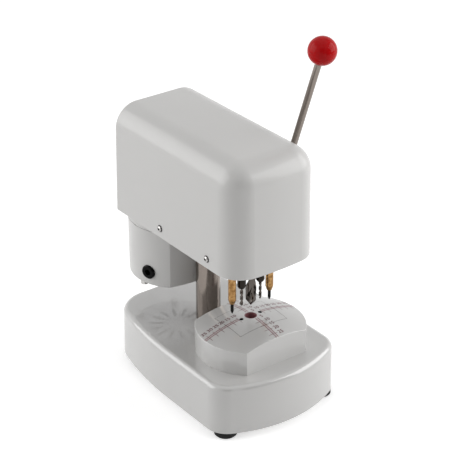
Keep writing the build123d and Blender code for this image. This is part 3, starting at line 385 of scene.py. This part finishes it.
# Nodes whose finish isn't the plain one of their slot
own_finish = {
    "base_housing": "base_paint",
    "drill_table": "base_paint",
    # the column and lever rod take the darker steel copy, a painted dark reflection
    "column": "column_steel_dark_reflection",
    "lever_rod": "column_steel_dark_reflection",
}


def finish_nodes(finishes):
    """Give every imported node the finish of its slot."""
    for part in frame["record"]["subparts"]:
        node = frame["nodes"][part["node"]]
        node.data.materials.clear()
        node.data.materials.append(finishes[own_finish.get(part["node"], part["material_slot"])])


# Pieces that the scene adds

def new_piece(name, mesh, material, body):
    """Link a finished mesh as a piece that rides on a body."""
    piece = bpy.data.objects.new(name, mesh)
    bpy.context.scene.collection.objects.link(piece)
    mesh.materials.clear()
    mesh.materials.append(material)
    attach(piece, body)
    return piece


def circle_angles(count):
    """Return evenly spaced angles once round, in radians."""
    return [2 * math.pi * index / count for index in range(count)]


def join_rings(mesh, rings):
    """Skin a row of rings of equal count and close both ends."""
    count = len(rings[0])
    for lower, upper in zip(rings, rings[1:]):
        for index in range(count):
            after = (index + 1) % count
            mesh.faces.new((lower[index], lower[after], upper[after], upper[index]))
    mesh.faces.new(list(reversed(rings[0])))
    mesh.faces.new(rings[-1])


def smooth_mesh(mesh, name, crease=None):
    """Turn a built form into a smooth mesh, with its creases sharp over an angle in degrees."""
    for face in mesh.faces:
        face.smooth = True
    shape = bpy.data.meshes.new(name)
    mesh.to_mesh(shape)
    mesh.free()
    if crease is not None:
        shape.set_sharp_from_angle(angle=math.radians(crease))
    return shape


# Twist drills: shares of half a turn and of the radius, and lengths in millimetres
margin_share = 0.07
land_share = 0.47
land_radius_share = 0.955
core_share = 0.30
shank_share = 0.98
flute_skew = 0.8
flute_roundness = 0.75
flute_runout = 3.0
drill_step = 0.18
drill_chisel = 0.02
drill_sides = 96
drill_crease = 38


def drill_radius(turn, radius, core):
    """Return how far a twist drill reaches at an angle from its cutting edge, in half turns."""
    place = turn % 1.0
    if place < margin_share:
        return radius
    land = radius * land_radius_share
    if place < land_share:
        return land
    groove = (place - land_share) / (1.0 - land_share)
    depth = math.sin(math.pi * groove ** flute_skew) ** flute_roundness
    return land - (land - core) * depth


def twist_drill(node, body, radius, point, lead, flute_length, phase, finishes):
    """Replace a packed drill with one whose flutes, lands and point are ground into the mesh.

    Radius, point, lead and flute length are in millimetres, and the phase in half turns.
    """
    low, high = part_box(node)
    centre = Vector(((low.x + high.x) / 2, (low.y + high.y) / 2, 0.0))
    radius = radius * mm
    core = radius * core_share
    lead = lead * mm
    height = high.z - low.z
    steps = math.ceil(height / (drill_step * mm))
    mesh = bmesh.new()
    rings = []
    for step in range(steps + 1):
        rise = height * step / steps
        runout = min(max((rise - flute_length * mm) / (flute_runout * mm), 0.0), 1.0)
        ring = []
        for angle in circle_angles(drill_sides):
            turn = (angle / math.pi) - phase - 2 * rise / lead
            reach = drill_radius(turn, radius, core)
            reach = reach + (radius * shank_share - reach) * runout
            reach = min(reach, rise * radius / (point * mm) + drill_chisel * mm)
            place = Vector((reach * math.cos(angle), reach * math.sin(angle), low.z + rise))
            ring.append(mesh.verts.new(centre + place))
        rings.append(ring)
    join_rings(mesh, rings)
    name = node + "_ground"
    shape = smooth_mesh(mesh, name, drill_crease)
    piece = new_piece(name, shape, finishes["drill_steel"], body)
    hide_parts(node)


# Cover screws: millimetres, heights from under the head, which sits a share of its width inwards
seat_share = 0.34
screw_radius = 2.05
screw_shank_radius = 1.2
screw_seat = 0.1
screw_rim = 0.45
screw_head = 1.35
screw_length = 7.0
screw_steps = 9
screw_crease = 30
socket_width = 1.8
socket_mouth_share = 0.62
socket_lip = 0.02
socket_depth = 1.2
# Black washers under the heads: real washers whose dark ring also paints the shade round each head
washer_radius = 2.45
washer_bore_radius = 1.3
washer_thickness = 0.22


def socket_reach(angle, width):
    """Return the distance from a hexagon's middle to its wall at an angle."""
    turn = (angle + math.pi / 6) % (math.pi / 3) - math.pi / 6
    return width / 2 / math.cos(turn)


def lathe(mesh, place, outward, profile, count=48):
    """Turn rings of (radius, height, hexagonal) about an axis along X and join them."""
    rings = []
    for radius, height, hexagonal in profile:
        ring = []
        for angle in circle_angles(count):
            reach = socket_reach(angle, 2 * radius) if hexagonal else radius
            spot = Vector((outward * height, reach * math.cos(angle), reach * math.sin(angle)))
            ring.append(mesh.verts.new(place + spot * mm))
        rings.append(ring)
    join_rings(mesh, rings)


def screw_profile():
    """Return the rings of a button head screw, from the end of its shank to its socket's floor."""
    profile = [
        (screw_shank_radius, -screw_length, False),
        (screw_shank_radius, screw_seat, False),
        (screw_radius, screw_seat, False),
        (screw_radius, screw_rim, False),
    ]
    for step in range(1, screw_steps):
        angle = math.pi / 2 * step / screw_steps
        radius = screw_radius * math.cos(angle)
        if radius > socket_width * socket_mouth_share:
            profile.append((radius, screw_rim + (screw_head - screw_rim) * math.sin(angle), False))
    profile.append((socket_width / 2, screw_head - socket_lip, True))
    profile.append((socket_width / 2, screw_head - socket_depth, True))
    return profile


def washer_profile():
    """Return the rings of a black washer, which paints the shade round a screw head."""
    return [
        (washer_bore_radius, 0.0, False),
        (washer_radius, 0.0, False),
        (washer_radius, washer_thickness, False),
        (washer_bore_radius, washer_thickness, False),
    ]


def cover_screws(finishes):
    """Replace the cover screws with button heads that have a hexagon socket, on black washers whose dark
    ring paints the shade round each head.
    """
    low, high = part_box("cover_screws")
    height = (low.z + high.z) / 2
    width = high.z - low.z
    head = bmesh.new()
    shade_washer = bmesh.new()
    for side, edge in ((-1, low.x), (1, high.x)):
        for along in (low.y + width / 2, high.y - width / 2):
            place = Vector((edge - side * width * seat_share, along, height))
            lathe(head, place, side, screw_profile())
            lathe(shade_washer, place, side, washer_profile())
    for mesh, name, finish, slot_name in (
        (head, "cover_screw_heads", "screw_steel", "screws"),
        (shade_washer, "cover_screw_shade_washers", "black_plastic", "black_plastic"),
    ):
        bmesh.ops.recalc_face_normals(mesh, faces=mesh.faces)
        shape = smooth_mesh(mesh, name, screw_crease)
        piece = new_piece(name, shape, finishes[finish], "stand")
        if name == "cover_screw_heads":
            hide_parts("cover_screws")


# Pen springs: the wire's radius in millimetres
spring_wire = 0.22
spring_turns = 12
spring_turn_steps = 20
spring_end_turns = 1.2
spring_end_pitch = 1.15
spring_sides = 8


def spring_rise(turn):
    """Return the millimetres risen in a spring's closed end turns, and the share of its open ones."""
    close = 2 * spring_wire * spring_end_pitch
    open_turns = spring_turns - 2 * spring_end_turns
    below = min(turn, spring_end_turns) + max(turn - spring_turns + spring_end_turns, 0.0)
    along = min(max(turn - spring_end_turns, 0.0), open_turns)
    return below * close, along / open_turns


def pen_springs(finishes):
    """Replace each pen's spring with a coil of wire at its rest length, riding on the quill slide."""
    low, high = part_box("pen_springs")
    outer = (high.y - low.y) / 2
    wire = spring_wire * mm
    coil = outer - wire
    steps = spring_turn_steps * spring_turns
    for name, x, joint in (
        ("pen_spring_left", low.x + outer, "pen_slide_left"),
        ("pen_spring_right", high.x - outer, "pen_slide_right"),
    ):
        centre = Vector((x, (low.y + high.y) / 2, 0.0))
        length = high.z - low.z - 2 * wire
        free = length - spring_rise(spring_turns)[0] * mm
        mesh = bmesh.new()
        rings = []
        for step in range(steps + 1):
            turn = spring_turns * step / steps
            angle = 2 * math.pi * turn
            closed, share = spring_rise(turn)
            rise = low.z + wire + closed * mm + free * share
            outward = Vector((math.cos(angle), math.sin(angle), 0.0))
            middle = centre + outward * coil + Vector((0, 0, rise))
            ring = []
            for around in circle_angles(spring_sides):
                bead = outward * math.cos(around) + Vector((0, 0, math.sin(around)))
                ring.append(mesh.verts.new(middle + bead * wire))
            rings.append(ring)
        join_rings(mesh, rings)
        bmesh.ops.recalc_face_normals(mesh, faces=mesh.faces)
        shape = smooth_mesh(mesh, name)
        piece = new_piece(name, shape, finishes["spring_steel"], "quill_slide")
        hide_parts("pen_springs")
        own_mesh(piece)


# Holes in the domed table, in millimetres from the drill axis
dome_radius = 110.0
hole_spacing = 8.0
# Centre hole: its wall and floor are coloured red
centre_red_radius = 4.06
centre_red_floor = 7.4
# Side holes: their black walls and floors are painted shade, dark sheets where the holes are only in shade
side_shade_radius = 1.42
side_shade_floor = 8.4
hole_wall_drop = 0.12
hole_wall_sides = 48


def table_holes(finishes):
    """Colour the walls and floors of the table's drilled holes: red in the middle hole, and black in each
    side hole as painted shade.
    """
    for name, x, radius, depth, finish, slot_name in (
        ("centre_hole_red", 0.0, centre_red_radius, centre_red_floor, "centre_hole_red_finish", "red_ball"),
        # the black in the side holes is painted shade
        ("side_hole_left_shade", -hole_spacing, side_shade_radius, side_shade_floor, "black_point", "black_point"),
        ("side_hole_right_shade", hole_spacing, side_shade_radius, side_shade_floor, "black_point", "black_point"),
    ):
        mesh = bmesh.new()
        bottom = table_top - depth * mm
        rim = []
        floor = []
        for angle in circle_angles(hole_wall_sides):
            across = x + radius * math.cos(angle)
            along = radius * math.sin(angle)
            drop = (across ** 2 + along ** 2) / (2 * dome_radius) + hole_wall_drop
            spot = (across * mm, along * mm + drill_axis_y)
            rim.append(mesh.verts.new((*spot, table_top - drop * mm)))
            floor.append(mesh.verts.new((*spot, bottom)))
        for index in range(hole_wall_sides):
            after = (index + 1) % hole_wall_sides
            mesh.faces.new((rim[index], rim[after], floor[after], floor[index]))
        mesh.faces.new(list(reversed(floor)))
        shape = bpy.data.meshes.new(name)
        mesh.to_mesh(shape)
        mesh.free()
        new_piece(name, shape, finishes[finish], "stand")


# Printed scale, in millimetres from the drill axis
scale_reach_x = 38.4
scale_reach_y = 29.0
scale_start = 9.6
scale_front_start = 5.2
ladder_width = 1.7
long_tick = 3.5
line_width = 0.46
tick_width = 0.13
long_tick_width = 0.30
ring_inner = 4.10
ring_outer = 4.32
number_weight = 0.06
number_height = 2.9
number_row = 6.6
number_left = 4.4
figure_share = 0.70
frame_half_x = 20.0
frame_half_y = 14.8
frame_line = 0.22
print_depth = 9.0
cast_height = 10.0


class TablePrint:
    """Flat ink shapes laid on the domed table, in millimetres from the drill axis."""

    ink_height = 0.02
    step = 0.5

    def __init__(self, name):
        self.name = name
        self.mesh = bmesh.new()
        table = frame["nodes"]["drill_table"]
        self.surface = BVHTree.FromPolygons(
            [v.co for v in table.data.vertices], [p.vertices for p in table.data.polygons])

    def on_table(self, x, y):
        """Return the point just over the table at x, y, or None past its edge."""
        start = Vector((x * mm, y * mm + drill_axis_y, table_top + cast_height * mm))
        hit = self.surface.ray_cast(start, Vector((0, 0, -1)))[0]
        if hit is None or hit.z < table_top - print_depth * mm:
            return None
        return hit + Vector((0, 0, self.ink_height * mm))

    def strip(self, start, end, width):
        """Lay a straight line of ink."""
        a, b = Vector(start), Vector(end)
        length = (b - a).length
        across = Vector((a.y - b.y, b.x - a.x)) / length * width / 2
        count = max(1, math.ceil(length / self.step))
        rail = []
        for i in range(count + 1):
            middle = a.lerp(b, i / count)
            left = self.on_table(*(middle + across))
            right = self.on_table(*(middle - across))
            if left is None or right is None:
                rail.append(None)
            else:
                rail.append((self.mesh.verts.new(left), self.mesh.verts.new(right)))
        for first, second in zip(rail, rail[1:]):
            if first and second:
                self.mesh.faces.new((first[0], first[1], second[1], second[0]))

    def ring(self, inner, outer, count=64):
        """Lay a ring of ink round the drill axis."""
        pairs = []
        for angle in circle_angles(count):
            direction = Vector((math.cos(angle), math.sin(angle)))
            spots = [self.on_table(*(direction * radius)) for radius in (inner, outer)]
            pairs.append([self.mesh.verts.new(spot) for spot in spots])
        for i in range(count):
            first, second = pairs[i], pairs[(i + 1) % count]
            self.mesh.faces.new((first[0], first[1], second[1], second[0]))

    def text(self, words, x, y, height, align):
        """Lay a number whose middle height is at y."""
        data = bpy.data.curves.new("number", "FONT")
        data.body = words
        data.size = height / figure_share
        data.align_x = align
        data.align_y = "CENTER"
        data.resolution_u = 3
        data.offset = number_weight
        holder = bpy.data.objects.new("number", data)
        flat = bpy.data.meshes.new_from_object(holder)
        shape = bmesh.new()
        shape.from_mesh(flat)
        verts = {}
        for vert in shape.verts:
            verts[vert] = self.mesh.verts.new(self.on_table(x + vert.co.x, y + vert.co.y))
        for face in shape.faces:
            self.mesh.faces.new([verts[v] for v in face.verts])
        shape.free()
        bpy.data.objects.remove(holder)
        bpy.data.meshes.remove(flat)

    def piece(self, material, slot_name):
        """Finish the ink as one piece of the stand."""
        bmesh.ops.recalc_face_normals(self.mesh, faces=self.mesh.faces)
        for face in self.mesh.faces:
            if face.normal.z < 0:
                face.normal_flip()
        mesh = bpy.data.meshes.new(self.name)
        self.mesh.to_mesh(mesh)
        self.mesh.free()
        new_piece(self.name, mesh, material, "stand")


def print_scale(finishes):
    """Print the millimetre cross, its numbers and the frame line on the table."""
    red = TablePrint("scale_lines")
    for side in (-1, 1):
        for offset in (0.0, ladder_width):
            red.strip((side * scale_start, offset), (side * scale_reach_x, offset), line_width)
            red.strip((offset, side * scale_front_start), (offset, side * scale_reach_y), line_width)
        for mark in range(10, 39):
            if mark % 5:
                red.strip((side * mark, 0), (side * mark, ladder_width), tick_width)
        for mark in range(6, 29):
            if mark % 5:
                red.strip((0, side * mark), (ladder_width, side * mark), tick_width)
    red.ring(ring_inner, ring_outer)
    red.piece(finishes["red_ink"], "red_ball")
    dark = TablePrint("scale_numbers")
    for side in (-1, 1):
        for mark in range(10, 36, 5):
            dark.strip((side * mark, -long_tick), (side * mark, long_tick), long_tick_width)
            dark.text(str(mark), side * mark, number_row, number_height, "CENTER")
        for mark in range(5, 26, 5):
            if mark > 5:
                dark.strip((-long_tick, side * mark), (long_tick, side * mark), long_tick_width)
            dark.text(str(mark), number_left, side * mark, number_height, "LEFT")
    dark.piece(finishes["dark_ink"], "black_point")
    black = TablePrint("scale_frame")
    for side in (-1, 1):
        across, along = side * frame_half_x, side * frame_half_y
        black.strip((-frame_half_x, along), (frame_half_x, along), frame_line)
        black.strip((across, -frame_half_y), (across, frame_half_y), frame_line)
    black.piece(finishes["black_ink"], "black_point")


# The scene, from the studio to the smallest piece

bpy.context.scene.view_settings.view_transform = "Standard"
make_camera()
make_world()
make_floor()
make_lamps()
dark_card("dark_card", (-1.15, -1.55, 0.95), 1.3, 1.5)
dark_card("dark_card_right", (0.45, -1.75, 0.45), 1.7, 1.6)
finishes = make_finishes()
finish_nodes(finishes)
print_scale(finishes)
table_holes(finishes)
cover_screws(finishes)
pen_springs(finishes)
twist_drill("centre_drill", "main_spindle", 3.75, 4.4, 40.0, 25.0, 0.10, finishes)
twist_drill("side_drill_left", "side_spindle_left", 1.1, 1.2, 9.0, 14.0, 0.2, finishes)
twist_drill("side_drill_right", "side_spindle_right", 1.1, 1.2, 9.0, 14.0, 0.7, finishes)
